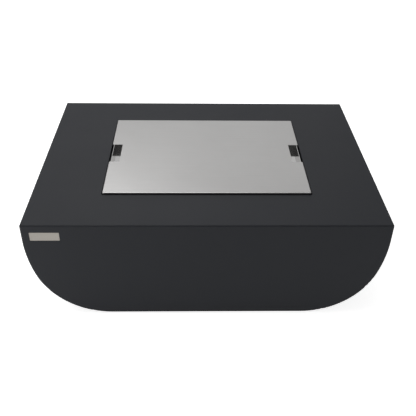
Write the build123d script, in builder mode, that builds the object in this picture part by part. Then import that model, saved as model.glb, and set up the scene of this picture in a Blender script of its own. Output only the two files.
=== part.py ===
from build123d import *
import os
from math import cos, radians, sin, sqrt, tan
from random import Random

# A gas fire table: a cast-concrete body, a stainless burner pan with grate and lava rock,
# gas controls in a recess at the back, and a folded stainless lid. Millimetres, +Z up,
# front towards -Y, origin on the floor under the middle.

# Body
length = 1070.0
depth = 800.0
height = 350.0
lid_proud = 6.0
foot_gap = 3.0
wall = 20.0
slab = 22.0
corner_radius = 228.0
side_radius = 410.0
side_turn = 18.0
edge_round = 5.0
service_length = 420.0
service_depth = 600.0
service_corner = 30.0

# Lid and the rebate it drops into
sheet = 1.5
lid_length = 640.0
lid_depth = 482.0
lid_corner = 4.0
lid_gap = 3.0
rebate_drop = 42.0
ledge_width = 35.0
ledge_thickness = 22.0
rim_wall = 22.0
bumper_height = 1.4
bumper_radius = 4.5
bumper_x = 220.0
bumper_y = 150.0
seat_gap = 0.1
bend_radius = 3.0
hem = 12.0
notch_length = 114.0
notch_depth = 35.0
notch_lip = 4.0
cup_inset = 6.0
cup_drop = 23.0
cup_undercut = 25.0
stiffener_x = 130.0
stiffener_width = 30.0
stiffener_height = 12.0
stiffener_flange = 10.0
stiffener_sheet = 1.2
stiffener_gap = 2.0

# Badge
badge_length = 85.0
badge_height = 28.0
badge_thickness = 1.5
badge_from_end = 67.0
badge_below_top = 39.0
badge_gap = 0.3

# Burner pan, burner and grate
pan_clearance = 3.0
pan_depth_inside = 78.5
pan_screw_side_x = 200.0
pan_screw_end_y = 150.0
pan_screw_gap = 2.0
pan_corner = 12.0
burner_length = 360.0
burner_depth = 200.0
burner_bend = 40.0
burner_radius = 11.0
burner_wall = 1.2
burner_rise = 25.0
port_radius = 1.6
port_pitch = 28.0
saddle_length = 12.0
saddle_width = 30.0
mixer_radius = 12.0
mixer_wall = 2.0
mixer_length = 86.0
mixer_gap = 0.2
mixer_below_burner = 2.0
stub_drop = 6.25
collar_radius = 19.0
collar_height = 4.0
window_width = 8.0
window_height = 14.0
window_above_end = 20.0
shutter_wall = 1.2
shutter_gap = 0.3
shutter_height = 24.0
orifice_block = 18.0
orifice_plug = 16.0
orifice_port_radius = 5.0
grate_rise = 46.0
grate_margin = 8.0
grate_frame = 8.0
grate_bar = 6.0
grate_bars = 14
grate_tie_y = 66.0
leg_radius = 4.0
leg_inset = 10.0
rock_columns = 11
rock_rows = 8
rock_height = 42.0
rock_gap = 0.4
rock_margin = 14.0
rock_least_height = 0.7
rock_least_swell = 0.78
rock_most_swell = 0.97
rock_column_turn = 50.0
rock_row_turn = 80.0
rock_points = 14
rock_seed = 7
golden_turn = 137.5

# Pilot group on the pan floor
pilot_x = -90.0
pilot_y = 140.0
pilot_pitch = 16.0
pilot_radius = 6.0
probe_radius = 2.5
electrode_radius = 3.0
pilot_below = 10.0
pilot_above = 26.0
pilot_mouth_width = 4.0
pilot_mouth_height = 5.0
pilot_hood = 3.0
pilot_round = 2.0
probe_round = 1.5
wire_radius = 1.0
wire_above = 2.0
sleeve_below = 8.0
pilot_hole_length = 52.0
pilot_hole_depth = 20.0
bracket_margin = 6.0
bracket_upright = 30.0
shield_sheet = 1.0
shield_top = 38.0
shield_length = 84.0
shield_depth = 44.0

# Heat shield under the pan
heat_shield_length = 500.0
heat_shield_depth = 360.0
heat_shield_sheet = 1.0
heat_shield_drop = 18.0
spacer_radius = 6.0
spacer_inset = 30.0

# Control recess
control_z = 190.0
control_width = 230.0
control_height = 100.0
control_sink = 47.0
control_corner = 4.0
box_clearance = 1.5
box_flange = 16.0
box_screw_inset = 12.0
panel_lip = 10.0
panel_clearance = 1.0
valve_x = -52.0
valve_width = 34.0
valve_reach = 46.0
valve_height = 30.0
valve_corner = 3.0
outlet_shift_x = 8.0
outlet_shift_z = 6.0
pilot_port_shift = 2.0
inlet_port_shift = 4.0
small_port_radius = 4.0
boss_radius = 7.0
boss_clearance = 0.5
boss_length = 5.5
nut_thickness = 4.0
nut_flats = 19.0
spindle_radius = 4.0
spindle_fit = 0.05
spindle_sunk = 25.0
spindle_end_gap = 0.2
spindle_round = 1.0
bore_round = 1.5
knob_radius = 19.0
knob_length = 20.0
knob_standoff = 10.0
knob_travel = 4.0
knob_grip_width = 12.0
knob_face = 3.0
knob_grip_height = 8.0
knob_edge = 2.0
grip_root = 1.0
igniter_x = 58.0
igniter_radius = 10.5
igniter_length = 54.0
igniter_flange = 14.0
flange_thickness = 2.0
battery_radius = 7.0
battery_length = 50.0
battery_gap = 0.3
battery_spring = 1.0
battery_sunk = 0.5
battery_nub = 1.0
battery_nub_radius = 2.5
cap_radius = 12.0
cap_length = 12.0
cap_gap = 0.3
button_radius = 7.0
button_gap = 0.2
button_travel = 3.0
button_proud = 3.0
button_stem = 5.0
button_end_gap = 0.3
button_round = 1.0
cap_round = 1.5

# Gas inlet in the back wall
inlet_x = -200.0
inlet_z = 76.0
inlet_port_radius = 32.0
inlet_plate = 96.0
inlet_plate_thickness = 3.0
inlet_plate_corner = 6.0
inlet_screw_inset = 8.0
flare_radius = 7.94
flare_length = 15.0
flare_chamfer = 2.0
shank_radius = 7.5
inlet_nut = 4.0
inlet_hex = 22.0
inlet_hex_length = 8.0
flare_bore_radius = 4.0
flare_bore_length = 18.0

# Hoses, tubes and leads
hose_radius = 4.0
burner_hose_radius = 4.0
pilot_tube_radius = 2.0
lead_radius = 1.5
spark_lead_radius = 2.0
bend_share = 0.45
end_nut_length = 9.0
hose_nut_flats = 19.0
burner_nut_flats = 14.0
lead_nut_flats = 10.0

# Openings and fixings
overcut = 1.0
vent_length = 100.0
vent_height = 10.0
vent_x = 330.0
vent_z = 140.0
vent_pitch = 22.0
vent_rows = 3
foot_radius = 25.0
foot_recess = 6.0
foot_fit = 0.5
foot_x = 252.0
foot_y = 342.0
screw_radius = 2.0
screw_head_radius = 4.0
screw_head = 2.0
screw_length = 14.0
screw_clearance = 0.25
stub_length = 12.0
tube_fit = 0.1

# Levels and sizes that follow from the values above
MINI = (Align.CENTER, Align.CENTER, Align.MIN)
top = height - lid_proud
half_length = length / 2
back = depth / 2
side_centre_z = foot_gap + corner_radius + (side_radius - corner_radius) * sin(radians(side_turn))
flat_half = half_length - side_radius + (side_radius - corner_radius) * cos(radians(side_turn))
ledge_z = top - rebate_drop
flange_z = ledge_z + sheet
rim_low = ledge_z - ledge_thickness
rebate_length = lid_length + 2 * lid_gap
rebate_depth = lid_depth + 2 * lid_gap
opening_length = rebate_length - 2 * ledge_width
opening_depth = rebate_depth - 2 * ledge_width
pan_length = opening_length - 2 * pan_clearance
pan_width = opening_depth - 2 * pan_clearance
pan_floor = flange_z - pan_depth_inside
pan_under = pan_floor - sheet
lid_low = flange_z + seat_gap + bumper_height
lid_under = height - sheet
burner_z = pan_floor + burner_rise
grate_low = pan_floor + grate_rise
grate_top = grate_low + grate_bar
grate_length = pan_length - 2 * sheet - 2 * grate_margin
grate_width = pan_width - 2 * sheet - 2 * grate_margin
mixer_y = burner_depth / 2
mixer_top = burner_z - burner_radius - mixer_below_burner
mixer_low = mixer_top - mixer_length
shield_z = pan_under - heat_shield_drop
panel_front = back - control_sink
panel_back = panel_front - sheet
inner_back = back - wall
pan_screw_x = lid_length / 2 - hem - 2 * screw_head_radius - pan_screw_gap
pan_screw_y = lid_depth / 2 - hem - 2 * screw_head_radius - pan_screw_gap


def block(low, high, mode=Mode.ADD):
    """Rectangular block between two opposite corners."""
    size = Vector(*high) - Vector(*low)
    with Locations(low):
        Box(size.X, size.Y, size.Z, align=(Align.MIN, Align.MIN, Align.MIN), mode=mode)


def rod(start, end, radius, mode=Mode.ADD):
    """Round bar between two points."""
    axis = Vector(*end) - Vector(*start)
    with Locations(Plane(origin=start, z_dir=axis)):
        Cylinder(radius, axis.length, align=MINI, mode=mode)


def hexagon(start, end, flats, mode=Mode.ADD):
    """Hexagonal bar between two points, sized across its flats."""
    axis = Vector(*end) - Vector(*start)
    with BuildSketch(Plane(origin=start, z_dir=axis)) as outline:
        RegularPolygon(flats / 2, 6, major_radius=False)
    extrude(outline.sketch, amount=axis.length, mode=mode)


def plate(low, thickness, size_x, size_y, corner, mode=Mode.ADD):
    """Level plate with rounded corners, centred over the origin."""
    with BuildSketch(Plane.XY.offset(low)) as outline:
        RectangleRounded(size_x, size_y, corner)
    extrude(outline.sketch, amount=thickness, mode=mode)


def screw(seat, direction):
    """Pan-head screw: its head stands on the seat, its shank runs along the direction."""
    out = Vector(*seat) - Vector(*direction) * screw_head
    tip = Vector(*seat) + Vector(*direction) * screw_length
    rod(tuple(out), seat, screw_head_radius)
    rod(seat, tuple(tip), screw_radius)


def hull_profile(inset, level):
    """End outline of the body, set in by a wall thickness and cut off level."""
    with BuildSketch(Plane.XZ) as profile:
        with BuildLine():
            CenterArc((flat_half, foot_gap + corner_radius), corner_radius - inset, -90, 90 - side_turn)
            CenterArc((half_length - side_radius, side_centre_z), side_radius - inset, -side_turn,
                      side_turn)
            Line((half_length - inset, side_centre_z), (half_length - inset, level))
            mirror(about=Plane.YZ)
            Line((-flat_half, foot_gap + inset), (flat_half, foot_gap + inset))
            Line((-half_length + inset, level), (half_length - inset, level))
        make_face()
    return profile.sketch


def corners(half_x, half_y):
    """Four points of a rectangle about the origin."""
    return [(sx * half_x, sy * half_y) for sx in (-1, 1) for sy in (-1, 1)]


foot_places = corners(foot_x, foot_y)
pan_screw_places = corners(pan_screw_x, pan_screw_end_y) + corners(pan_screw_side_x, pan_screw_y)
panel_screw_x = control_width / 2 - box_clearance - sheet - panel_lip / 2
panel_screw_z = control_height / 2 - box_clearance - sheet - panel_lip / 2
panel_screw_places = [(x, control_z + z) for x, z in corners(panel_screw_x, panel_screw_z)]
box_screw_x = control_width / 2 + box_flange / 2
box_screw_z = control_height / 2 - box_screw_inset
box_screw_places = [(x, control_z + z) for x, z in corners(box_screw_x, box_screw_z)]
plate_screw = inlet_plate / 2 - inlet_screw_inset
inlet_screw_places = [(inlet_x + x, inlet_z + z) for x, z in corners(plate_screw, plate_screw)]
badge_x = -half_length + badge_from_end
badge_z = top - badge_below_top

os.makedirs("parts", exist_ok=True)

# Concrete body: one cast shell with a rim round the pan, a service hole below and openings behind
with BuildPart() as concrete_shell:
    extrude(hull_profile(0, top), amount=back, both=True)
    long_edges = concrete_shell.edges().filter_by(Axis.Y).group_by(Axis.Z)[-1]
    fillet(concrete_shell.faces().filter_by(Axis.Y).edges() + long_edges, radius=edge_round)
    extrude(hull_profile(wall, top - slab), amount=back - wall, both=True, mode=Mode.SUBTRACT)
    plate(rim_low, top - slab - rim_low + overcut, rebate_length + 2 * rim_wall,
          rebate_depth + 2 * rim_wall, rim_wall)
    plate(ledge_z, rebate_drop, rebate_length, rebate_depth, lid_corner + lid_gap, Mode.SUBTRACT)
    plate(rim_low, ledge_thickness, opening_length, opening_depth, pan_corner + pan_clearance,
          Mode.SUBTRACT)
    plate(foot_gap, wall, service_length, service_depth, service_corner, Mode.SUBTRACT)
    for x, y in foot_places:
        rod((x, y, foot_gap), (x, y, foot_gap + foot_recess), foot_radius + foot_fit, Mode.SUBTRACT)
    for x, y in pan_screw_places:
        rod((x, y, ledge_z - screw_length), (x, y, ledge_z), screw_radius + screw_clearance,
            Mode.SUBTRACT)
    for x, z in box_screw_places + inlet_screw_places:
        rod((x, inner_back, z), (x, inner_back + screw_length, z), screw_radius + screw_clearance,
            Mode.SUBTRACT)
    with BuildSketch(Plane.XZ.offset(-back)):
        with Locations((0, control_z)):
            RectangleRounded(control_width, control_height, control_corner)
        with Locations((inlet_x, inlet_z)):
            Circle(inlet_port_radius)
        with Locations((-vent_x, vent_z), (vent_x, vent_z)):
            with GridLocations(0, vent_pitch, 1, vent_rows):
                SlotOverall(vent_length, vent_height)
    extrude(amount=wall, mode=Mode.SUBTRACT)
    block((badge_x - badge_length / 2 - badge_gap, -back, badge_z - badge_height / 2 - badge_gap),
          (badge_x + badge_length / 2 + badge_gap, -back + badge_thickness,
           badge_z + badge_height / 2 + badge_gap), Mode.SUBTRACT)
concrete_shell.part.label = "concrete_shell"
export_step(concrete_shell.part, "parts/concrete_shell.step")

# Blank badge let in flush with the front face
with BuildPart() as badge_plate:
    block((badge_x - badge_length / 2, -back, badge_z - badge_height / 2),
          (badge_x + badge_length / 2, -back + badge_thickness, badge_z + badge_height / 2))
badge_plate.part.label = "badge_plate"
export_step(badge_plate.part, "parts/badge_plate.step")

# Rubber pads glued in recesses under the body
for name, (x, y) in zip(("front_left", "back_left", "front_right", "back_right"), foot_places):
    with BuildPart() as foot_pad:
        rod((x, y, 0), (x, y, foot_gap + foot_recess), foot_radius)
    foot_pad.part.label = f"foot_pad_{name}"
    export_step(foot_pad.part, f"parts/foot_pad_{name}.step")

# Burner pan: a folded tub hung by its flange on the rebate's ledge
with BuildPart() as burner_pan:
    plate(ledge_z, sheet, lid_length, lid_depth, lid_corner)
    plate(pan_under, ledge_z - pan_under, pan_length, pan_width, pan_corner)
    plate(pan_floor, pan_depth_inside, pan_length - 2 * sheet, pan_width - 2 * sheet,
          pan_corner - sheet, Mode.SUBTRACT)
    rod((0, mixer_y, pan_under), (0, mixer_y, pan_floor), mixer_radius + mixer_gap, Mode.SUBTRACT)
    block((pilot_x - pilot_hole_length / 2, pilot_y - pilot_hole_depth / 2, pan_under),
          (pilot_x + pilot_hole_length / 2, pilot_y + pilot_hole_depth / 2, pan_floor), Mode.SUBTRACT)
    for x, y in pan_screw_places:
        rod((x, y, ledge_z), (x, y, flange_z), screw_radius + screw_clearance, Mode.SUBTRACT)
burner_pan.part.label = "burner_pan"
export_step(burner_pan.part, "parts/burner_pan.step")

# Screws that hold the pan's flange down on the ledge
with BuildPart() as pan_screws:
    for x, y in pan_screw_places:
        screw((x, y, flange_z), (0, 0, -1))
pan_screws.part.label = "pan_screws"
export_step(pan_screws.part, "parts/pan_screws.step")

# Burner: a rectangular ring of stainless tube with ports along its top and a short inlet stub
stub_radius = mixer_radius - mixer_wall - mixer_gap
with BuildPart() as burner_ring:
    with BuildSketch(Plane.XY.offset(burner_z), mode=Mode.PRIVATE) as ring_outline:
        RectangleRounded(burner_length, burner_depth, burner_bend)
    ring_path = ring_outline.sketch.wires()[0]
    ring_start = Plane(origin=ring_path @ 0, z_dir=ring_path % 0)
    with BuildSketch(ring_start):
        Circle(burner_radius)
    sweep(path=ring_path)
    rod((0, mixer_y, mixer_top - stub_drop), (0, mixer_y, burner_z), stub_radius)
    with BuildSketch(ring_start):
        Circle(burner_radius - burner_wall)
    sweep(path=ring_path, mode=Mode.SUBTRACT)
    rod((0, mixer_y, mixer_top - stub_drop), (0, mixer_y, burner_z), stub_radius - burner_wall,
        Mode.SUBTRACT)
    ports_long = int((burner_length - 2 * burner_bend) / port_pitch)
    ports_short = int((burner_depth - 2 * burner_bend) / port_pitch)
    with Locations((0, 0, burner_z)):
        with GridLocations(port_pitch, burner_depth, ports_long, 2):
            Cylinder(port_radius, burner_radius + overcut, align=MINI, mode=Mode.SUBTRACT)
        with GridLocations(burner_length, port_pitch, 2, ports_short):
            Cylinder(port_radius, burner_radius + overcut, align=MINI, mode=Mode.SUBTRACT)
burner_ring.part.label = "burner_ring"
export_step(burner_ring.part, "parts/burner_ring.step")

# Saddles that carry the burner ring off the pan floor
with BuildPart() as burner_saddles:
    for x, y in corners(burner_length / 4, burner_depth / 2):
        block((x - saddle_length / 2, y - saddle_width / 2, pan_floor),
              (x + saddle_length / 2, y + saddle_width / 2, burner_z - burner_radius / 2))
    for y in (-burner_depth / 2, burner_depth / 2):
        rod((-burner_length / 2, y, burner_z), (burner_length / 2, y, burner_z),
            burner_radius + tube_fit, Mode.SUBTRACT)
burner_saddles.part.label = "burner_saddles"
export_step(burner_saddles.part, "parts/burner_saddles.step")

# Mixer tube: air and gas mix in it on the way up to the burner; its collar sits on the pan floor
with BuildPart() as burner_mixer:
    rod((0, mixer_y, mixer_low), (0, mixer_y, mixer_top), mixer_radius)
    rod((0, mixer_y, pan_floor), (0, mixer_y, pan_floor + collar_height), collar_radius)
    rod((0, mixer_y, mixer_low), (0, mixer_y, mixer_top), mixer_radius - mixer_wall, Mode.SUBTRACT)
    window_low = mixer_low + window_above_end
    for turn in (0, 90):
        with Locations(Location((0, mixer_y, window_low), (0, 0, turn))):
            Box(2 * (mixer_radius + overcut), window_width, window_height, align=MINI, mode=Mode.SUBTRACT)
burner_mixer.part.label = "burner_mixer"
export_step(burner_mixer.part, "parts/burner_mixer.step")

# Air shutter: a sleeve that turns round the mixer and uncovers its windows
shutter_inner = mixer_radius + shutter_gap
shutter_outer = shutter_inner + shutter_wall
shutter_low = window_low - (shutter_height - window_height) / 2
with BuildPart() as air_shutter:
    rod((0, mixer_y, shutter_low), (0, mixer_y, shutter_low + shutter_height), shutter_outer)
    rod((0, mixer_y, shutter_low), (0, mixer_y, shutter_low + shutter_height), shutter_inner,
        Mode.SUBTRACT)
    for turn in (0, 90):
        with Locations(Location((0, mixer_y, window_low), (0, 0, turn))):
            Box(2 * (shutter_outer + overcut), window_width, window_height, align=MINI,
                mode=Mode.SUBTRACT)
air_shutter.part.label = "air_shutter"
export_step(air_shutter.part, "parts/air_shutter.step")

# Orifice elbow: brass block plugged into the mixer, with its gas port towards the back
orifice_z = mixer_low - orifice_block / 2
orifice_end = mixer_y + orifice_block / 2 + stub_length / 2
with BuildPart() as gas_orifice:
    block((-orifice_block / 2, mixer_y - orifice_block / 2, mixer_low - orifice_block),
          (orifice_block / 2, mixer_y + orifice_block / 2, mixer_low))
    rod((0, mixer_y, mixer_low), (0, mixer_y, mixer_low + orifice_plug),
        mixer_radius - mixer_wall - mixer_gap)
    rod((0, mixer_y, orifice_z), (0, orifice_end, orifice_z), orifice_port_radius)
gas_orifice.part.label = "gas_orifice"
export_step(gas_orifice.part, "parts/gas_orifice.step")

# Rock grate: a flat welded frame with cross bars and two ties
with BuildPart() as rock_grate:
    with BuildSketch(Plane.XY.offset(grate_low)):
        Rectangle(grate_length, grate_width)
        Rectangle(grate_length - 2 * grate_frame, grate_width - 2 * grate_frame, mode=Mode.SUBTRACT)
        with GridLocations(grate_length / (grate_bars + 1), 0, grate_bars, 1):
            Rectangle(grate_bar, grate_width - grate_frame)
        with GridLocations(0, 2 * grate_tie_y, 1, 2):
            Rectangle(grate_length - grate_frame, grate_bar)
    extrude(amount=grate_bar)
rock_grate.part.label = "rock_grate"
export_step(rock_grate.part, "parts/rock_grate.step")

# Legs that stand the grate on the pan floor
leg_x = grate_length / 2 - leg_inset
leg_y = grate_width / 2 - leg_inset
with BuildPart() as grate_legs:
    for x, y in corners(leg_x, leg_y) + [(0, -leg_y), (0, leg_y)]:
        rod((x, y, pan_floor), (x, y, grate_low), leg_radius)
grate_legs.part.label = "grate_legs"
export_step(grate_legs.part, "parts/grate_legs.step")

# Lava rock: loose faceted lumps, one to a cell, on the grate
rock_random = Random(rock_seed)
rock_area_x = 2 * (lid_length / 2 - notch_depth - cup_undercut - rock_margin)
rock_area_y = pan_width - 2 * sheet - rock_margin
cell_x = rock_area_x / rock_columns
cell_y = rock_area_y / rock_rows
with BuildPart() as lava_rocks:
    for column in range(rock_columns):
        for row in range(rock_rows):
            x = (column + 0.5) * cell_x - rock_area_x / 2
            y = (row + 0.5) * cell_y - rock_area_y / 2
            tall = rock_height * rock_random.uniform(rock_least_height, 1)
            lump = []
            for number in range(rock_points):
                level = 1 - 2 * (number + 0.5) / rock_points
                ring = sqrt(1 - level * level)
                swell = rock_random.uniform(rock_least_swell, rock_most_swell)
                angle = radians(golden_turn * number + rock_column_turn * column + rock_row_turn * row)
                lump.append((x + swell * ring * cos(angle) * cell_x / 2,
                             y + swell * ring * sin(angle) * cell_y / 2,
                             grate_top + rock_gap + tall / 2 + swell * level * tall / 2))
            ConvexPolyhedron(lump)
lava_rocks.part.label = "lava_rocks"
export_step(lava_rocks.part, "parts/lava_rocks.step")

# Pilot bracket on the pan floor, with an upright behind its three holes
bracket_x = pilot_hole_length / 2 + bracket_margin
bracket_y = pilot_hole_depth / 2 + bracket_margin
pilot_places = [pilot_x - pilot_pitch, pilot_x, pilot_x + pilot_pitch]
pilot_radii = [electrode_radius, pilot_radius, probe_radius]
with BuildPart() as pilot_bracket:
    block((pilot_x - bracket_x, pilot_y - bracket_y, pan_floor),
          (pilot_x + bracket_x, pilot_y + bracket_y, pan_floor + 2 * shield_sheet))
    block((pilot_x - bracket_x, pilot_y + bracket_y - 2 * shield_sheet, pan_floor),
          (pilot_x + bracket_x, pilot_y + bracket_y, pan_floor + bracket_upright))
    for x, radius in zip(pilot_places, pilot_radii):
        rod((x, pilot_y, pan_floor), (x, pilot_y, pan_floor + 2 * shield_sheet), radius + tube_fit,
            Mode.SUBTRACT)
pilot_bracket.part.label = "pilot_bracket"
export_step(pilot_bracket.part, "parts/pilot_bracket.step")

# Pilot burner with a hooded mouth facing the main burner
pilot_low = pan_under - pilot_below
pilot_high = pan_floor + pilot_above
with BuildPart() as pilot_burner:
    rod((pilot_x, pilot_y, pilot_low), (pilot_x, pilot_y, pilot_high), pilot_radius)
    mouth = pilot_mouth_width / 2
    block((pilot_x - mouth, pilot_y - pilot_radius, pilot_high - pilot_hood - pilot_mouth_height),
          (pilot_x + mouth, pilot_y + mouth, pilot_high - pilot_hood), Mode.SUBTRACT)
    fillet(pilot_burner.faces().sort_by(Axis.Z)[-1].edges(), radius=pilot_round)
pilot_burner.part.label = "pilot_burner"
export_step(pilot_burner.part, "parts/pilot_burner.step")

# Spark electrode: a ceramic sleeve with a thin wire standing out of it
electrode_x = pilot_x - pilot_pitch
with BuildPart() as spark_electrode:
    rod((electrode_x, pilot_y, pilot_low), (electrode_x, pilot_y, pilot_high - sleeve_below),
        electrode_radius)
    rod((electrode_x, pilot_y, pilot_low), (electrode_x, pilot_y, pilot_high + wire_above), wire_radius)
spark_electrode.part.label = "spark_electrode"
export_step(spark_electrode.part, "parts/spark_electrode.step")

# Thermocouple probe
probe_x = pilot_x + pilot_pitch
with BuildPart() as thermocouple:
    rod((probe_x, pilot_y, pilot_low), (probe_x, pilot_y, pilot_high), probe_radius)
    fillet(thermocouple.faces().sort_by(Axis.Z)[-1].edges(), radius=probe_round)
thermocouple.part.label = "thermocouple"
export_step(thermocouple.part, "parts/thermocouple.step")

# Pilot shield: a three-sided guard, open towards the burner
shield_inner_y = pilot_y + bracket_y + tube_fit
with BuildPart() as pilot_shield:
    with BuildSketch(Plane.XY.offset(pan_floor)):
        with Locations((pilot_x, shield_inner_y + shield_sheet - shield_depth / 2)):
            Rectangle(shield_length, shield_depth)
        with Locations((pilot_x, shield_inner_y - shield_depth / 2)):
            Rectangle(shield_length - 2 * shield_sheet, shield_depth, mode=Mode.SUBTRACT)
    extrude(amount=shield_top)
pilot_shield.part.label = "pilot_shield"
export_step(pilot_shield.part, "parts/pilot_shield.step")

# Heat shield hung under the pan, with holes for the mixer and the pilot tubes
with BuildPart() as heat_shield:
    plate(shield_z, heat_shield_sheet, heat_shield_length, heat_shield_depth, pan_corner)
    rod((0, mixer_y, shield_z), (0, mixer_y, shield_z + heat_shield_sheet), collar_radius,
        Mode.SUBTRACT)
    block((pilot_x - bracket_x, pilot_y - bracket_y, shield_z),
          (pilot_x + bracket_x, pilot_y + bracket_y, shield_z + heat_shield_sheet), Mode.SUBTRACT)
heat_shield.part.label = "heat_shield"
export_step(heat_shield.part, "parts/heat_shield.step")

# Spacers between the pan and its heat shield
spacer_places = corners(heat_shield_length / 2 - spacer_inset, heat_shield_depth / 2 - spacer_inset)
with BuildPart() as heat_shield_spacers:
    for x, y in spacer_places:
        rod((x, y, shield_z + heat_shield_sheet), (x, y, pan_under), spacer_radius)
heat_shield_spacers.part.label = "heat_shield_spacers"
export_step(heat_shield_spacers.part, "parts/heat_shield_spacers.step")

# Control box: a shallow tray screwed behind the opening in the back wall
box_x = control_width / 2 - box_clearance
box_z = control_height / 2 - box_clearance
with BuildPart() as control_box:
    flange_x = control_width / 2 + box_flange
    flange_rise = control_height / 2 + box_flange
    block((-flange_x, inner_back - sheet, control_z - flange_rise),
          (flange_x, inner_back, control_z + flange_rise))
    block((-box_x, panel_back - sheet, control_z - box_z), (box_x, inner_back, control_z + box_z))
    block((-box_x + sheet, panel_back, control_z - box_z + sheet),
          (box_x - sheet, inner_back, control_z + box_z - sheet), Mode.SUBTRACT)
    lip = sheet + panel_lip
    block((-box_x + lip, panel_back - sheet, control_z - box_z + lip),
          (box_x - lip, panel_back, control_z + box_z - lip), Mode.SUBTRACT)
    for x, z in box_screw_places:
        rod((x, inner_back - sheet, z), (x, inner_back, z), screw_radius + screw_clearance,
            Mode.SUBTRACT)
    for x, z in panel_screw_places:
        rod((x, panel_back - sheet, z), (x, panel_back, z), screw_radius + screw_clearance,
            Mode.SUBTRACT)
control_box.part.label = "control_box"
export_step(control_box.part, "parts/control_box.step")

# Control panel: the flat plate that the valve and the igniter are fixed through
panel_x = box_x - sheet - panel_clearance
panel_z = box_z - sheet - panel_clearance
with BuildPart() as control_panel:
    block((-panel_x, panel_back, control_z - panel_z), (panel_x, panel_front, control_z + panel_z))
    rod((valve_x, panel_back, control_z), (valve_x, panel_front, control_z),
        boss_radius + boss_clearance, Mode.SUBTRACT)
    rod((igniter_x, panel_back, control_z), (igniter_x, panel_front, control_z),
        igniter_radius + boss_clearance, Mode.SUBTRACT)
    for x, z in panel_screw_places:
        rod((x, panel_back, z), (x, panel_front, z), screw_radius + screw_clearance, Mode.SUBTRACT)
control_panel.part.label = "control_panel"
export_step(control_panel.part, "parts/control_panel.step")

# Screws through the panel into the box
with BuildPart() as panel_screws:
    for x, z in panel_screw_places:
        screw((x, panel_front, z), (0, -1, 0))
panel_screws.part.label = "panel_screws"
export_step(panel_screws.part, "parts/panel_screws.step")

# Screws that hold the box to the back wall
with BuildPart() as box_screws:
    for x, z in box_screw_places:
        screw((x, inner_back - sheet, z), (0, 1, 0))
box_screws.part.label = "box_screws"
export_step(box_screws.part, "parts/box_screws.step")

# Gas valve: a brass block behind the panel, with its threaded boss through it and four ports
valve_back = panel_back - valve_reach
valve_low = control_z - valve_height / 2
boss_end = panel_front + boss_length
outlet = (valve_x + outlet_shift_x, valve_back, control_z + outlet_shift_z)
sensor_port = (valve_x - outlet_shift_x, valve_back, control_z - outlet_shift_z)
pilot_port = (valve_x - valve_width / 2, panel_back - valve_reach / 2, control_z + pilot_port_shift)
inlet_port = (valve_x, panel_back - valve_reach / 2 - inlet_port_shift, valve_low)
spindle_start = panel_front - spindle_sunk
with BuildPart() as gas_valve:
    block((valve_x - valve_width / 2, valve_back, valve_low),
          (valve_x + valve_width / 2, panel_back, valve_low + valve_height))
    fillet(gas_valve.edges().filter_by(Axis.Y), radius=valve_corner)
    rod((valve_x, panel_back, control_z), (valve_x, boss_end, control_z), boss_radius)
    rod(outlet, (outlet[0], outlet[1] - stub_length, outlet[2]), orifice_port_radius)
    rod(sensor_port, (sensor_port[0], sensor_port[1] - stub_length, sensor_port[2]), small_port_radius)
    rod(pilot_port, (pilot_port[0] - stub_length, pilot_port[1], pilot_port[2]), small_port_radius)
    rod(inlet_port, (inlet_port[0], inlet_port[1], inlet_port[2] - stub_length), orifice_port_radius)
    rod((valve_x, spindle_start - spindle_end_gap, control_z), (valve_x, boss_end, control_z),
        spindle_radius + spindle_fit, Mode.SUBTRACT)
gas_valve.part.label = "gas_valve"
export_step(gas_valve.part, "parts/gas_valve.step")

# Thin hexagon nut that clamps the valve to the panel
with BuildPart() as valve_nut:
    hexagon((valve_x, panel_front, control_z), (valve_x, panel_front + nut_thickness, control_z),
            nut_flats)
    rod((valve_x, panel_front, control_z), (valve_x, panel_front + nut_thickness, control_z),
        boss_radius + tube_fit, Mode.SUBTRACT)
valve_nut.part.label = "valve_nut"
export_step(valve_nut.part, "parts/valve_nut.step")

# Valve spindle: round in the valve, with a flat where the knob slides on it
knob_low = panel_front + knob_standoff
bore_end = knob_low + knob_length - knob_face
spindle_tip = bore_end - knob_travel - spindle_fit
spindle_flat = spindle_radius / 2
with BuildPart() as valve_spindle:
    rod((valve_x, spindle_start, control_z), (valve_x, spindle_tip, control_z), spindle_radius)
    block((valve_x - spindle_radius, boss_end + spindle_round, control_z + spindle_flat),
          (valve_x + spindle_radius, spindle_tip, control_z + spindle_radius), Mode.SUBTRACT)
valve_spindle.part.label = "valve_spindle"
export_step(valve_spindle.part, "parts/valve_spindle.step")

# Control knob: a round base with a raised grip bar and a D-shaped bore
knob_base = knob_low + knob_length - knob_grip_height
with BuildPart() as control_knob:
    rod((valve_x, knob_low, control_z), (valve_x, knob_base, control_z), knob_radius)
    fillet(control_knob.faces().sort_by(Axis.Y)[-1].edges(), radius=knob_edge)
    block((valve_x - knob_grip_width / 2, knob_base - grip_root, control_z - knob_radius + knob_edge),
          (valve_x + knob_grip_width / 2, knob_low + knob_length, control_z + knob_radius - knob_edge))
    rod((valve_x, knob_low, control_z), (valve_x, bore_end, control_z), spindle_radius + spindle_fit,
        Mode.SUBTRACT)
    block((valve_x - spindle_radius / 2, boss_end + bore_round + knob_travel,
           control_z + spindle_flat + spindle_fit),
          (valve_x + spindle_radius / 2, bore_end, control_z + spindle_radius))
control_knob.part.label = "control_knob"
export_step(control_knob.part, "parts/control_knob.step")

# Igniter body: a tube through the panel with a flange in front, holding one battery
igniter_back = panel_front - igniter_length
flange_front = panel_front + flange_thickness
with BuildPart() as igniter_body:
    rod((igniter_x, igniter_back, control_z), (igniter_x, flange_front, control_z), igniter_radius)
    rod((igniter_x, panel_front, control_z), (igniter_x, flange_front, control_z), igniter_flange)
    rod((igniter_x, flange_front - battery_length - battery_spring, control_z),
        (igniter_x, flange_front, control_z), battery_radius + battery_gap, Mode.SUBTRACT)
igniter_body.part.label = "igniter_body"
export_step(igniter_body.part, "parts/igniter_body.step")

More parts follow.
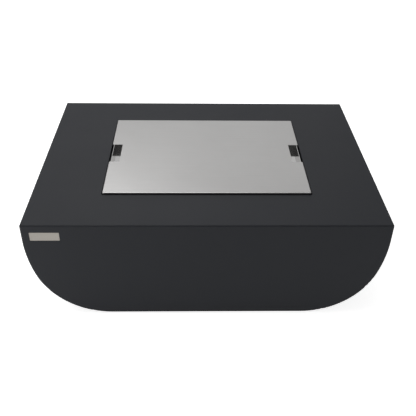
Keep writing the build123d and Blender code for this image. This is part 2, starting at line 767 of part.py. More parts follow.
# Battery in the igniter
with BuildPart() as igniter_battery:
    battery_front = flange_front - battery_sunk
    rod((igniter_x, battery_front - battery_length + battery_nub, control_z),
        (igniter_x, battery_front - battery_nub, control_z), battery_radius)
    rod((igniter_x, battery_front - battery_nub, control_z), (igniter_x, battery_front, control_z),
        battery_nub_radius)
igniter_battery.part.label = "igniter_battery"
export_step(igniter_battery.part, "parts/igniter_battery.step")

# Igniter cap with the push button sunk in it
cap_back = flange_front + cap_gap
cap_front = cap_back + cap_length
pocket = button_travel + button_stem
with BuildPart() as igniter_cap:
    rod((igniter_x, cap_back, control_z), (igniter_x, cap_front, control_z), cap_radius)
    fillet(igniter_cap.faces().sort_by(Axis.Y)[-1].edges(), radius=cap_round)
    rod((igniter_x, cap_front - pocket, control_z), (igniter_x, cap_front, control_z),
        button_radius + button_gap, Mode.SUBTRACT)
igniter_cap.part.label = "igniter_cap"
export_step(igniter_cap.part, "parts/igniter_cap.step")

# Push button of the igniter
with BuildPart() as igniter_button:
    rod((igniter_x, cap_front - pocket + button_travel + button_end_gap, control_z),
        (igniter_x, cap_front + button_proud, control_z), button_radius)
    fillet(igniter_button.faces().sort_by(Axis.Y)[-1].edges(), radius=button_round)
igniter_button.part.label = "igniter_button"
export_step(igniter_button.part, "parts/igniter_button.step")

# Gas inlet: a plate inside the back wall with a flare fitting pointing out of the port
plate_front = inner_back
plate_back = inner_back - inlet_plate_thickness
fitting_end = plate_back - inlet_hex_length
with BuildPart() as inlet_bracket:
    half = inlet_plate / 2
    block((inlet_x - half, plate_back, inlet_z - half), (inlet_x + half, plate_front, inlet_z + half))
    fillet(inlet_bracket.edges().filter_by(Axis.Y), radius=inlet_plate_corner)
    rod((inlet_x, plate_back, inlet_z), (inlet_x, plate_front, inlet_z), shank_radius + tube_fit,
        Mode.SUBTRACT)
    for x, z in inlet_screw_places:
        rod((x, plate_back, z), (x, plate_front, z), screw_radius + screw_clearance, Mode.SUBTRACT)
inlet_bracket.part.label = "inlet_bracket"
export_step(inlet_bracket.part, "parts/inlet_bracket.step")

# Screws that hold the inlet plate to the back wall
with BuildPart() as inlet_screws:
    for x, z in inlet_screw_places:
        screw((x, plate_back, z), (0, 1, 0))
inlet_screws.part.label = "inlet_screws"
export_step(inlet_screws.part, "parts/inlet_screws.step")

# Flare fitting with its hexagon behind the plate
flare_tip = plate_front + inlet_nut + flare_length
with BuildPart() as gas_inlet_fitting:
    rod((inlet_x, plate_front + inlet_nut, inlet_z), (inlet_x, flare_tip, inlet_z), flare_radius)
    chamfer(gas_inlet_fitting.faces().sort_by(Axis.Y)[-1].edges(), length=flare_chamfer)
    rod((inlet_x, plate_back, inlet_z), (inlet_x, flare_tip - flare_length, inlet_z), shank_radius)
    hexagon((inlet_x, fitting_end, inlet_z), (inlet_x, plate_back, inlet_z), inlet_hex)
    rod((inlet_x, flare_tip - flare_bore_length, inlet_z), (inlet_x, flare_tip, inlet_z),
        flare_bore_radius, Mode.SUBTRACT)
gas_inlet_fitting.part.label = "gas_inlet_fitting"
export_step(gas_inlet_fitting.part, "parts/gas_inlet_fitting.step")

# Nut that clamps the fitting to the plate
with BuildPart() as inlet_nut_ring:
    hexagon((inlet_x, plate_front, inlet_z), (inlet_x, plate_front + inlet_nut, inlet_z), inlet_hex)
    rod((inlet_x, plate_front, inlet_z), (inlet_x, plate_front + inlet_nut, inlet_z),
        shank_radius + tube_fit, Mode.SUBTRACT)
inlet_nut_ring.part.label = "inlet_nut"
export_step(inlet_nut_ring.part, "parts/inlet_nut.step")


def bend_radii(points):
    """Largest arc that the two runs beside each inner point allow."""
    radii = []
    for before, point, after in zip(points, points[1:], points[2:]):
        first = Vector(*point) - Vector(*before)
        second = Vector(*after) - Vector(*point)
        turn = radians(first.get_angle(second))
        radii.append(bend_share * min(first.length, second.length) / tan(turn / 2))
    return radii


# Hoses, tubes and leads: straight runs joined by tangent arcs
valve_out = (outlet[0], outlet[1] - stub_length, outlet[2])
sensor_out = (sensor_port[0], sensor_port[1] - stub_length, sensor_port[2])
pilot_out = (pilot_port[0] - stub_length, pilot_port[1], pilot_port[2])
valve_in = (inlet_port[0], inlet_port[1], inlet_port[2] - stub_length)
routes = {
    "inlet_hose": (hose_radius, [
        (inlet_x, fitting_end, inlet_z), (inlet_x, 308, inlet_z), (-178, 258, 73),
        (-130, 232, 69), (-80, 246, 73), (-58, 286, 88),
        (valve_in[0], valve_in[1], valve_in[2] - 38), valve_in]),
    "burner_hose": (burner_hose_radius, [
        valve_out, (valve_out[0], 256, valve_out[2]), (-32, 222, 176), (-16, 188, 152),
        (0, orifice_end + 34, orifice_z), (0, orifice_end, orifice_z)]),
    "pilot_tube": (pilot_tube_radius, [
        pilot_out, (-112, pilot_out[1], pilot_out[2]), (-132, 300, 178), (-130, 262, 166),
        (-120, 222, 158), (-104, 186, 157), (-92, 150, 166), (pilot_x, pilot_y, pilot_low - 24),
        (pilot_x, pilot_y, pilot_low)]),
    "thermocouple_lead": (lead_radius, [
        sensor_out, (sensor_out[0], 262, sensor_out[2]), (-66, 228, 167), (-73, 192, 160), (-75, 160, 166),
        (probe_x, pilot_y, pilot_low - 24), (probe_x, pilot_y, pilot_low)]),
    "ignition_lead": (spark_lead_radius, [
        (igniter_x, igniter_back, control_z), (igniter_x, 262, control_z), (40, 232, 170), (5, 214, 150),
        (-35, 205, 139), (-75, 192, 136), (-100, 166, 146), (electrode_x, pilot_y, pilot_low - 26),
        (electrode_x, pilot_y, pilot_low)]),
}
for name, (radius, points) in routes.items():
    radii = bend_radii(points)
    print(name, "least bend radius", round(min(radii), 1))
    with BuildPart() as flexible_run:
        with BuildLine() as route:
            FilletPolyline(*points, radius=radii)
        with BuildSketch(Plane(origin=points[0], z_dir=Vector(*points[1]) - Vector(*points[0]))):
            Circle(radius)
        sweep(path=route.line)
    flexible_run.part.label = name
    export_step(flexible_run.part, f"parts/{name}.step")

# Nuts at the ends of the hoses and tubes
tube_ends = [
    (routes["inlet_hose"], 0, hose_nut_flats), (routes["inlet_hose"], -1, hose_nut_flats),
    (routes["burner_hose"], 0, burner_nut_flats), (routes["burner_hose"], -1, burner_nut_flats),
    (routes["pilot_tube"], 0, lead_nut_flats), (routes["thermocouple_lead"], 0, lead_nut_flats),
]
with BuildPart() as tube_nuts:
    for (radius, points), end, flats in tube_ends:
        seat = Vector(*points[end])
        inward = Vector(*points[1 if end == 0 else -2]) - seat
        far = tuple(seat + inward.normalized() * end_nut_length)
        hexagon(tuple(seat), far, flats)
        rod(tuple(seat), far, radius + tube_fit, Mode.SUBTRACT)
tube_nuts.part.label = "tube_nuts"
export_step(tube_nuts.part, "parts/tube_nuts.step")

# Lid: one sheet folded down all round with a hem inside, and a finger notch in each short end
with BuildPart() as lid_panel:
    plate(lid_low, height - lid_low, lid_length, lid_depth, lid_corner)
    fillet(lid_panel.faces().sort_by(Axis.Z)[-1].edges(), radius=bend_radius)
    plate(lid_low + sheet, lid_under - lid_low - sheet, lid_length - 2 * sheet, lid_depth - 2 * sheet,
          lid_corner - sheet, Mode.SUBTRACT)
    block((-lid_length / 2 + hem, -lid_depth / 2 + hem, lid_low),
          (lid_length / 2 - hem, lid_depth / 2 - hem, lid_low + sheet), Mode.SUBTRACT)
    notch_x = lid_length / 2 - notch_depth
    for side in (-1, 1):
        near, far = sorted((side * notch_x, side * lid_length / 2))
        block((near, -notch_length / 2, lid_low), (far, notch_length / 2, height), Mode.SUBTRACT)
        near, far = sorted((side * notch_x, side * (notch_x - sheet)))
        block((near, -notch_length / 2, height - notch_lip), (far, notch_length / 2, lid_under))
lid_panel.part.label = "lid_panel"
export_step(lid_panel.part, "parts/lid_panel.step")

# Hand cups welded under the notches: open above, and undercut towards the middle for the fingers
cup_outer = lid_length / 2 - cup_inset
cup_inner = notch_x - cup_undercut
cup_floor = height - cup_drop
cup_y = notch_length / 2
for name, side in (("left", -1), ("right", 1)):
    with BuildPart() as hand_cup:
        near, far = sorted((side * cup_inner, side * cup_outer))
        block((near, -cup_y - sheet, cup_floor - sheet), (far, cup_y + sheet, lid_under))
        near, far = sorted((side * (cup_inner + sheet), side * (cup_outer - sheet)))
        block((near, -cup_y, cup_floor), (far, cup_y, lid_under), Mode.SUBTRACT)
        near, far = sorted((side * (cup_outer - sheet), side * cup_outer))
        block((near, -cup_y, lid_under), (far, cup_y, height))
    hand_cup.part.label = f"lid_hand_cup_{name}"
    export_step(hand_cup.part, f"parts/lid_hand_cup_{name}.step")

# Hat channels that stiffen the lid from below
for name, side in (("left", -1), ("right", 1)):
    with BuildPart() as stiffener:
        with BuildSketch(Plane.XZ):
            with Locations((side * stiffener_x, lid_under - stiffener_height / 2)):
                Rectangle(stiffener_width, stiffener_height)
            with Locations((side * stiffener_x, lid_under - stiffener_sheet / 2)):
                Rectangle(stiffener_width + 2 * stiffener_flange, stiffener_sheet)
            with Locations((side * stiffener_x, lid_under - (stiffener_height - stiffener_sheet) / 2)):
                Rectangle(stiffener_width - 2 * stiffener_sheet, stiffener_height - stiffener_sheet,
                          mode=Mode.SUBTRACT)
        extrude(amount=lid_depth / 2 - hem - stiffener_gap, both=True)
    stiffener.part.label = f"lid_stiffener_{name}"
    export_step(stiffener.part, f"parts/lid_stiffener_{name}.step")

# Soft bumpers under the lid's hem
hem_x = lid_length / 2 - hem / 2
hem_y = lid_depth / 2 - hem / 2
with BuildPart() as lid_bumpers:
    for x, y in corners(hem_x, bumper_y) + corners(bumper_x, hem_y):
        rod((x, y, lid_low - bumper_height), (x, y, lid_low), bumper_radius)
lid_bumpers.part.label = "lid_bumpers"
export_step(lid_bumpers.part, "parts/lid_bumpers.step")
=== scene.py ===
import math
import random
import bmesh
import bpy
from mathutils import Matrix, Vector, noise


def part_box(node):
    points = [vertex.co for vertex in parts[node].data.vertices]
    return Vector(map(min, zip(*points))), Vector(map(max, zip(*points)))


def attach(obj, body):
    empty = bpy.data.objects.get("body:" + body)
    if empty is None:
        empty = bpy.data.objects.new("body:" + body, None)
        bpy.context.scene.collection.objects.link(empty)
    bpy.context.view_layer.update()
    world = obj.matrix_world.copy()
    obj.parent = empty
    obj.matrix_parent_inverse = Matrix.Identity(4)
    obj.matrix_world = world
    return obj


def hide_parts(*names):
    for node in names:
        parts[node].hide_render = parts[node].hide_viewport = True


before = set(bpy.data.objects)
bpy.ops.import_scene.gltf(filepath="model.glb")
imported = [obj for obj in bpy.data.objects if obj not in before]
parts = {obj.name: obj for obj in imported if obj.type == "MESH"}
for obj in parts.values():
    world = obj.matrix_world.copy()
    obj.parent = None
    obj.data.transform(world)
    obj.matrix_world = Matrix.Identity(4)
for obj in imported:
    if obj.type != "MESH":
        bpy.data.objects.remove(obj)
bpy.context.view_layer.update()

# ---------------------------------------------------------------------------------------------
# Room: a white seamless floor under one large soft light overhead, a wide soft light behind the
# table and a low weak one at the front left. The room is darker in front of the table than
# behind it, so the steel is bright and the front stays dark.
floor_size = 40.0
floor_tone = (0.86, 0.86, 0.86, 1)
floor_rough = 0.9
floor_glow = 0.5
floor_bounce = 0.33
white = (1.0, 1.0, 1.0, 1)
sky_front = 0.08
sky_back = 0.32
sky_reach = 0.9
soft_lights = (
    # name, place, point it faces, width, height, watts
    ("overhead", (-0.9, 0.6, 3.2), (0, 0, 0.2), 4.0, 3.0, 63),
    ("back_wall", (-0.4, 4.2, 2.4), (0, 0, 0.4), 6.0, 3.0, 22),
    ("front_fill", (-2.4, -1.5, 0.25), (0, 0, 0.1), 1.2, 1.2, 21))


def node(tree, kind, settings=None, **sockets):
    """Node of a kind in a tree, with its settings and its sockets filled in or linked. A socket
    is named by its label, with _ for a space, or by its number after an i."""
    made = tree.nodes.new(kind)
    for key, value in (settings or {}).items():
        setattr(made, key, value)
    for key, value in sockets.items():
        numbered = key[0] == "i" and key[1:].isdigit()
        target = made.inputs[int(key[1:]) if numbered else key.replace("_", " ")]
        if isinstance(value, bpy.types.NodeSocket):
            tree.links.new(value, target)
        else:
            target.default_value = value
    return made


scene = bpy.context.scene
scene.view_settings.view_transform = "Standard"
scene.view_settings.look = "None"

world = bpy.data.worlds.new("studio")
world.use_nodes = True
tree = world.node_tree
background = tree.nodes["Background"]
background.inputs["Color"].default_value = white
heading = node(tree, "ShaderNodeTexCoord")
split = node(tree, "ShaderNodeSeparateXYZ", Vector=heading.outputs["Generated"])
dimmed = node(tree, "ShaderNodeMapRange", Value=split.outputs["Y"], From_Min=-sky_reach,
              From_Max=sky_reach, To_Min=sky_front, To_Max=sky_back)
seen_straight = node(tree, "ShaderNodeLightPath")
white_wall = node(tree, "ShaderNodeMath", {"operation": "MAXIMUM"}, i0=dimmed.outputs["Result"],
                  i1=seen_straight.outputs["Is Camera Ray"])
tree.links.new(white_wall.outputs[0], background.inputs["Strength"])
scene.world = world

mesh = bpy.data.meshes.new("floor")
build = bmesh.new()
bmesh.ops.create_grid(build, x_segments=1, y_segments=1, size=floor_size / 2)
build.to_mesh(mesh)
build.free()
floor = bpy.data.objects.new("floor", mesh)
scene.collection.objects.link(floor)
floor_paint = bpy.data.materials.new("floor_paint")
floor_paint.use_nodes = True
tree = floor_paint.node_tree
shader = tree.nodes["Principled BSDF"]
shader.inputs["Base Color"].default_value = floor_tone
shader.inputs["Roughness"].default_value = floor_rough
shader.inputs["Emission Color"].default_value = white
seen_straight = node(tree, "ShaderNodeLightPath")
glow = node(tree, "ShaderNodeMath", {"operation": "MULTIPLY_ADD"},
            i0=seen_straight.outputs["Is Camera Ray"], i1=floor_glow, i2=floor_bounce)
tree.links.new(glow.outputs[0], shader.inputs["Emission Strength"])
mesh.materials.append(floor_paint)

for name, place, aim, width, tall, watts in soft_lights:
    lamp = bpy.data.lights.new(name, "AREA")
    lamp.shape = "RECTANGLE"
    lamp.size = width
    lamp.size_y = tall
    lamp.energy = watts
    box = bpy.data.objects.new(name, lamp)
    box.location = place
    box.rotation_euler = (Vector(aim) - Vector(place)).to_track_quat("-Z", "Y").to_euler()
    scene.collection.objects.link(box)

# ---------------------------------------------------------------------------------------------
# Camera: standing in front of the table a little left of its middle, looking down on the lid.
camera_place = (-0.0412, -1.7703, 1.3747)
camera_turn = math.radians(-1.663)
camera_dip = math.radians(35.25)
camera_roll = math.radians(0.993)
camera_lens = 52.27
camera_sensor = 36.0
lens_data = bpy.data.cameras.new("camera")
lens_data.sensor_width = camera_sensor
lens_data.lens = camera_lens
camera = bpy.data.objects.new("camera", lens_data)
camera.matrix_world = (Matrix.Translation(camera_place) @ Matrix.Rotation(camera_turn, 4, "Z")
                       @ Matrix.Rotation(math.radians(90) - camera_dip, 4, "X")
                       @ Matrix.Rotation(camera_roll, 4, "Z"))
scene.collection.objects.link(camera)
scene.camera = camera

# ---------------------------------------------------------------------------------------------
# Concrete body: one thin shell of glass-fibre concrete, cast upside down in a smooth mould,
# coloured charcoal all through and sealed with a matt sealer. It carries everything else.


def new_group(name, inputs, outputs):
    """Shader node group with its input and output nodes; each socket has a label and a kind."""
    group = bpy.data.node_groups.new(name, "ShaderNodeTree")
    for in_out, sockets in (("INPUT", inputs), ("OUTPUT", outputs)):
        for label, kind in sockets.items():
            group.interface.new_socket(name=label, in_out=in_out, socket_type="NodeSocket" + kind)
    entry = group.nodes.new("NodeGroupInput")
    leave = group.nodes.new("NodeGroupOutput")
    return group, entry, leave


def mottle_group():
    """Cloudy drift between two colours, with a finer speckle on top of it."""
    group, entry, leave = new_group(
        "cloudy_mottle",
        {"Vector": "Vector", "Dark": "Color", "Light": "Color", "Cloud Scale": "Float",
         "Speckle Scale": "Float", "Speckle": "Float"},
        {"Color": "Color", "Mask": "Float"})
    cloud = node(group, "ShaderNodeTexNoise", Vector=entry.outputs["Vector"],
                 Scale=entry.outputs["Cloud Scale"], Detail=5.0, Roughness=0.6)
    fine = node(group, "ShaderNodeTexNoise", Vector=entry.outputs["Vector"],
                Scale=entry.outputs["Speckle Scale"], Detail=3.0, Roughness=0.7)
    spread = node(group, "ShaderNodeMapRange", Value=cloud.outputs["Fac"], From_Min=0.3,
                  From_Max=0.7)
    mixed = node(group, "ShaderNodeMix", {"data_type": "FLOAT"}, i0=entry.outputs["Speckle"],
                 i2=spread.outputs["Result"], i3=fine.outputs["Fac"])
    colour = node(group, "ShaderNodeMix", {"data_type": "RGBA"}, i0=mixed.outputs[0],
                  i6=entry.outputs["Dark"], i7=entry.outputs["Light"])
    group.links.new(colour.outputs[2], leave.inputs["Color"])
    group.links.new(mixed.outputs[0], leave.inputs["Mask"])
    return group


def relief_group():
    """Normal bent by fine noise, for cast, moulded and painted skins."""
    group, entry, leave = new_group(
        "fine_relief",
        {"Vector": "Vector", "Scale": "Float", "Strength": "Float", "Depth": "Float"},
        {"Normal": "Vector"})
    grit = node(group, "ShaderNodeTexNoise", Vector=entry.outputs["Vector"],
                Scale=entry.outputs["Scale"], Detail=4.0, Roughness=0.65)
    bump = node(group, "ShaderNodeBump", Height=grit.outputs["Fac"],
                Strength=entry.outputs["Strength"], Distance=entry.outputs["Depth"])
    group.links.new(bump.outputs["Normal"], leave.inputs["Normal"])
    return group


mottle = mottle_group()
relief = relief_group()


def new_finish(name, rough=0.5, metal=0.0, specular=0.5):
    """Material with its shader and Object coordinates ready."""
    finish = bpy.data.materials.new(name)
    finish.use_nodes = True
    tree = finish.node_tree
    shader = tree.nodes["Principled BSDF"]
    shader.inputs["Roughness"].default_value = rough
    shader.inputs["Metallic"].default_value = metal
    shader.inputs["Specular IOR Level"].default_value = specular
    place = tree.nodes.new("ShaderNodeTexCoord").outputs["Object"]
    return finish, tree, shader, place


def use_group(tree, group, **sockets):
    """Shared node group placed in a material, with its sockets filled in or linked."""
    return node(tree, "ShaderNodeGroup", {"node_tree": group}, **sockets)


def coat(name, finish):
    """Gives a CAD node one finish in place of the plain one it came with."""
    slots = parts[name].material_slots
    if slots:
        for slot in slots:
            slot.link = "OBJECT"
            slot.material = finish
    else:
        parts[name].data.materials.append(finish)


concrete, tree, shader, place = new_finish("charcoal_concrete", specular=0.3)
clouds = use_group(tree, mottle, Vector=place, Dark=(0.0205, 0.0223, 0.0272, 1),
                   Light=(0.0272, 0.0293, 0.0348, 1), Cloud_Scale=3.5, Speckle_Scale=140.0,
                   Speckle=0.35)
# Rare pores: their pits are painted nearly black as painted shade inside the holes, and pressed in
# with a bump.
pores = node(tree, "ShaderNodeTexVoronoi", {"feature": "F1"}, Vector=place, Scale=110.0)
pore_wall = node(tree, "ShaderNodeMapRange", Value=pores.outputs["Distance"], From_Min=0.05,
                 From_Max=0.11)
hole = node(tree, "ShaderNodeMath", {"operation": "SUBTRACT"}, i0=1.0,
            i1=pore_wall.outputs["Result"])
rare = node(tree, "ShaderNodeMath", {"operation": "GREATER_THAN"}, i0=pores.outputs["Color"],
            i1=0.93)
pit = node(tree, "ShaderNodeMath", {"operation": "MULTIPLY"}, i0=hole.outputs[0],
           i1=rare.outputs[0])
darker = node(tree, "ShaderNodeMix", {"data_type": "RGBA"}, i0=pit.outputs[0],
              i6=clouds.outputs["Color"], i7=(0.008, 0.008, 0.009, 1))
tree.links.new(darker.outputs[2], shader.inputs["Base Color"])
skin = use_group(tree, relief, Vector=place, Scale=420.0, Strength=0.25, Depth=0.00015)
pitted = node(tree, "ShaderNodeBump", {"invert": True}, Height=pit.outputs[0], Strength=0.5,
              Distance=0.0006, Normal=skin.outputs["Normal"])
tree.links.new(pitted.outputs["Normal"], shader.inputs["Normal"])
sheen = node(tree, "ShaderNodeMapRange", Value=clouds.outputs["Mask"], To_Min=0.55, To_Max=0.68)
tree.links.new(sheen.outputs["Result"], shader.inputs["Roughness"])
coat("concrete_shell", concrete)

# ---------------------------------------------------------------------------------------------
# Badge: a small blank plate of satin aluminium at the top left of the front, with a thin raised
# rim and two rivet heads. It is glued in a shallow recess, flush with the concrete.


def grain_group():
    """Fine parallel scratches left by a belt, as a colour mask, a roughness and a normal."""
    group, entry, leave = new_group(
        "belt_grain",
        {"Vector": "Vector", "Stretch": "Vector", "Low": "Float", "High": "Float",
         "Strength": "Float"},
        {"Mask": "Float", "Roughness": "Float", "Normal": "Vector"})
    stretched = node(group, "ShaderNodeVectorMath", {"operation": "MULTIPLY"},
                     i0=entry.outputs["Vector"], i1=entry.outputs["Stretch"])
    lines = node(group, "ShaderNodeTexNoise", Vector=stretched.outputs[0], Scale=1.0, Detail=3.0,
                 Roughness=0.6)
    rough = node(group, "ShaderNodeMapRange", Value=lines.outputs["Fac"],
                 To_Min=entry.outputs["Low"], To_Max=entry.outputs["High"])
    bump = node(group, "ShaderNodeBump", Height=lines.outputs["Fac"],
                Strength=entry.outputs["Strength"], Distance=0.00005)
    group.links.new(lines.outputs["Fac"], leave.inputs["Mask"])
    group.links.new(rough.outputs["Result"], leave.inputs["Roughness"])
    group.links.new(bump.outputs["Normal"], leave.inputs["Normal"])
    return group


grain = grain_group()


def grained_metal(name, dark, light, low, high, stretch, strength=0.1):
    """Grained metal: its colour drifts between dark and light, its roughness follows the
    scratches from low to high, and stretch sets which way they run."""
    finish, tree, shader, place = new_finish(name, metal=1.0)
    lines = use_group(tree, grain, Vector=place, Stretch=stretch, Low=low, High=high,
                      Strength=strength)
    drift = use_group(tree, mottle, Vector=place, Dark=dark, Light=light, Cloud_Scale=2.5,
                      Speckle_Scale=30.0, Speckle=0.2)
    streaked = node(tree, "ShaderNodeMix", {"data_type": "RGBA", "blend_type": "OVERLAY"},
                    i0=0.12, i6=drift.outputs["Color"], i7=lines.outputs["Mask"])
    tree.links.new(streaked.outputs[2], shader.inputs["Base Color"])
    tree.links.new(lines.outputs["Roughness"], shader.inputs["Roughness"])
    tree.links.new(lines.outputs["Normal"], shader.inputs["Normal"])
    return finish


badge_metal = grained_metal("badge_satin_metal", dark=(0.372, 0.348, 0.312, 1),
                            light=(0.446, 0.422, 0.386, 1), low=0.3, high=0.42,
                            stretch=(8.0, 900.0, 900.0))


def piece(name, build, finish, body, slot, *cad_nodes):
    """Turns a bmesh into an object of the table that rides on a body and stands for CAD nodes."""
    mesh = bpy.data.meshes.new(name)
    build.to_mesh(mesh)
    build.free()
    made = bpy.data.objects.new(name, mesh)
    mesh.materials.append(finish)
    scene.collection.objects.link(made)
    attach(made, body)
    if cad_nodes:
        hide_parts(*cad_nodes)


def add_block(build, low, high):
    """Block between two corners."""
    low, high = Vector(low), Vector(high)
    bmesh.ops.create_cube(build, size=1.0, matrix=Matrix.LocRotScale(
        (low + high) / 2, None, high - low))


def round_edges(build, edges, offset, segments):
    """Rounds some edges of a mesh."""
    bmesh.ops.bevel(build, geom=edges, offset=offset, segments=segments, profile=0.5,
                    affect="EDGES", material=-1)


badge_corner = 0.0015
badge_edge = 0.0002
badge_rim = 0.0008
badge_sunk = 0.00035
badge_rivet = 0.0016
rivet_inset = 0.0054
rivet_flat = 0.2
low, high = (Vector(corner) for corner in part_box("badge_plate"))
build = bmesh.new()
add_block(build, low, high)
upright = [edge for edge in build.edges
           if abs(edge.verts[0].co.y - edge.verts[1].co.y) > (high.y - low.y) / 2]
round_edges(build, upright, badge_corner, 4)
front = min(build.faces, key=lambda face: face.calc_center_median().y)
bmesh.ops.inset_region(build, faces=[front], thickness=badge_rim, depth=0.0)
bmesh.ops.inset_region(build, faces=[front], thickness=badge_edge, depth=-badge_sunk)
for rivet_x in (low.x + rivet_inset, high.x - rivet_inset):
    bmesh.ops.create_uvsphere(
        build, u_segments=16, v_segments=8, radius=badge_rivet,
        matrix=Matrix.Translation((rivet_x, low.y + badge_sunk, (low.z + high.z) / 2))
        @ Matrix.Diagonal((1, rivet_flat, 1, 1)))
piece("blank_badge", build, badge_metal, "table_body", "badge", "badge_plate")

# ---------------------------------------------------------------------------------------------
# Foot pads: four black rubber discs glued in recesses under the body, so it stands clear of
# the ground.


def moulded(name, dark, light, rough, speckle=0.4, specular=0.5, relief_scale=900.0,
            relief_strength=0.15):
    """Rubber, plastic, paint or ink: two close tones and a fine texture."""
    finish, tree, shader, place = new_finish(name, rough=rough, specular=specular)
    tone = use_group(tree, mottle, Vector=place, Dark=dark, Light=light, Cloud_Scale=25.0,
                     Speckle_Scale=500.0, Speckle=speckle)
    tree.links.new(tone.outputs["Color"], shader.inputs["Base Color"])
    skin = use_group(tree, relief, Vector=place, Scale=relief_scale, Strength=relief_strength,
                     Depth=0.0001)
    tree.links.new(skin.outputs["Normal"], shader.inputs["Normal"])
    return finish


pad_rubber = moulded("pad_rubber", dark=(0.008, 0.008, 0.008, 1), light=(0.02, 0.02, 0.02, 1),
                     rough=0.75)
for name in ("front_left", "back_left", "front_right", "back_right"):
    coat("foot_pad_" + name, pad_rubber)

# ---------------------------------------------------------------------------------------------
# Burner pan: a folded and welded tub of thin stainless steel, dulled and browned by heat
# towards the middle. Its flange is screwed down on the ledge of the rebate.
screw_head = 0.002
shank_radius = 0.002
dome_part = 0.45
land_part = 0.12
socket_part = 0.42
socket_depth_part = 0.7
pan_steel, tree, shader, place = new_finish("heat_tinted_pan", metal=1.0)
lines = use_group(tree, grain, Vector=place, Stretch=(4.0, 500.0, 500.0), Low=0.3, High=0.48,
                  Strength=0.1)
stain = use_group(tree, mottle, Vector=place, Dark=(0.34, 0.26, 0.18, 1),
                  Light=(0.50, 0.49, 0.47, 1), Cloud_Scale=7.0, Speckle_Scale=60.0, Speckle=0.3)
tree.links.new(stain.outputs["Color"], shader.inputs["Base Color"])
tree.links.new(lines.outputs["Roughness"], shader.inputs["Roughness"])
tree.links.new(lines.outputs["Normal"], shader.inputs["Normal"])
coat("burner_pan", pan_steel)


def lumps(name):
    """Boxes round the separate solids in a CAD node, as pairs of corners, in a fixed order."""
    copy = bmesh.new()
    copy.from_mesh(parts[name].data)
    bmesh.ops.remove_doubles(copy, verts=copy.verts, dist=1e-6)
    seen = set()
    boxes = []
    for start in copy.verts:
        if start in seen:
            continue
        seen.add(start)
        found = [start]
        for vert in found:
            for edge in vert.link_edges:
                other = edge.other_vert(vert)
                if other not in seen:
                    seen.add(other)
                    found.append(other)
        boxes.append((Vector([min(vert.co[k] for vert in found) for k in range(3)]),
                      Vector([max(vert.co[k] for vert in found) for k in range(3)])))
    copy.free()
    return sorted(boxes, key=lambda pair: [round(value, 5) for value in pair[0]])


def along(axis):
    """Turn that takes +Z to a direction."""
    return Vector((0, 0, 1)).rotation_difference(Vector(axis)).to_matrix().to_4x4()


def add_screw(build, box, out):
    """Button-head screw in a CAD screw's box: domed head with a hexagon socket, plain shank.
    out is the direction that the head faces."""
    low, high = box
    out = Vector(out)
    length = abs((high - low).dot(out))
    seat = (low + high) / 2 + out * (length / 2 - screw_head)
    radius = min(high[k] - low[k] for k in range(3) if abs(out[k]) < 0.5) / 2
    turn = Matrix.Translation(seat) @ along(out)

    def height(face):
        return (face.calc_center_median() - seat).dot(out)

    head = bmesh.ops.create_cone(
        build, cap_ends=True, segments=24, radius1=radius, radius2=radius, depth=screw_head,
        matrix=turn @ Matrix.Translation((0, 0, screw_head / 2)))
    top = max({face for vert in head["verts"] for face in vert.link_faces}, key=height)
    round_edges(build, list(top.edges), screw_head * dome_part, 3)
    top = max((face for face in build.faces
               if (face.calc_center_median() - seat).length < 2 * radius), key=height)
    bmesh.ops.inset_region(build, faces=[top], thickness=radius * land_part, depth=0.0)
    inward = turn.inverted()
    for vert in top.verts:
        spot = inward @ vert.co
        angle = math.atan2(spot.y, spot.x)
        from_flat = (angle + math.pi / 6) % (math.pi / 3) - math.pi / 6
        reach = radius * socket_part / math.cos(from_flat)
        vert.co = turn @ Vector((reach * math.cos(angle), reach * math.sin(angle), spot.z))
    socket_floor = bmesh.ops.extrude_discrete_faces(build, faces=[top])["faces"][0]
    for vert in socket_floor.verts:
        vert.co -= out * screw_head * socket_depth_part
    shank = length - screw_head
    bmesh.ops.create_cone(
        build, cap_ends=True, segments=16, radius1=shank_radius, radius2=shank_radius, depth=shank,
        matrix=turn @ Matrix.Translation((0, 0, -shank / 2)))


def bright_screws(name, cad_name, out):
    """All the screws of one CAD node, as one detailed piece."""
    build = bmesh.new()
    for box in lumps(cad_name):
        add_screw(build, box, out)
    for face in build.faces:
        face.smooth = len(face.verts) == 4
    piece(name, build, zinc, "table_body", "screw_steel", cad_name)


zinc = grained_metal("bright_zinc", dark=(0.55, 0.55, 0.53, 1), light=(0.68, 0.68, 0.66, 1),
                     low=0.18, high=0.3, stretch=(300.0, 300.0, 300.0), strength=0.05)
bright_screws("pan_flange_screws", "pan_screws", (0, 0, 1))

# ---------------------------------------------------------------------------------------------
# Burner: a ring of bent stainless tube, straw and blue from the flame, on four saddles. Gas
# and air rise to it through a mixer tube with a turning air shutter and a brass orifice elbow.
burner_steel, tree, shader, place = new_finish("flame_tinted_steel", metal=1.0)
tint = node(tree, "ShaderNodeTexNoise", Vector=place, Scale=16.0, Detail=3.0)
ramp = node(tree, "ShaderNodeValToRGB", Fac=tint.outputs["Fac"])
ramp.color_ramp.elements[0].position = 0.3
ramp.color_ramp.elements[0].color = (0.42, 0.40, 0.38, 1)
ramp.color_ramp.elements[1].position = 0.72
ramp.color_ramp.elements[1].color = (0.16, 0.17, 0.26, 1)
straw = ramp.color_ramp.elements.new(0.48)
straw.color = (0.44, 0.35, 0.22, 1)
tree.links.new(ramp.outputs["Color"], shader.inputs["Base Color"])
scale_skin = use_group(tree, relief, Vector=place, Scale=500.0, Strength=0.2, Depth=0.0001)
tree.links.new(scale_skin.outputs["Normal"], shader.inputs["Normal"])
dulled = node(tree, "ShaderNodeMapRange", Value=tint.outputs["Fac"], To_Min=0.3, To_Max=0.55)
tree.links.new(dulled.outputs["Result"], shader.inputs["Roughness"])
for name in ("burner_ring", "burner_saddles", "burner_mixer", "air_shutter"):
    coat(name, burner_steel)

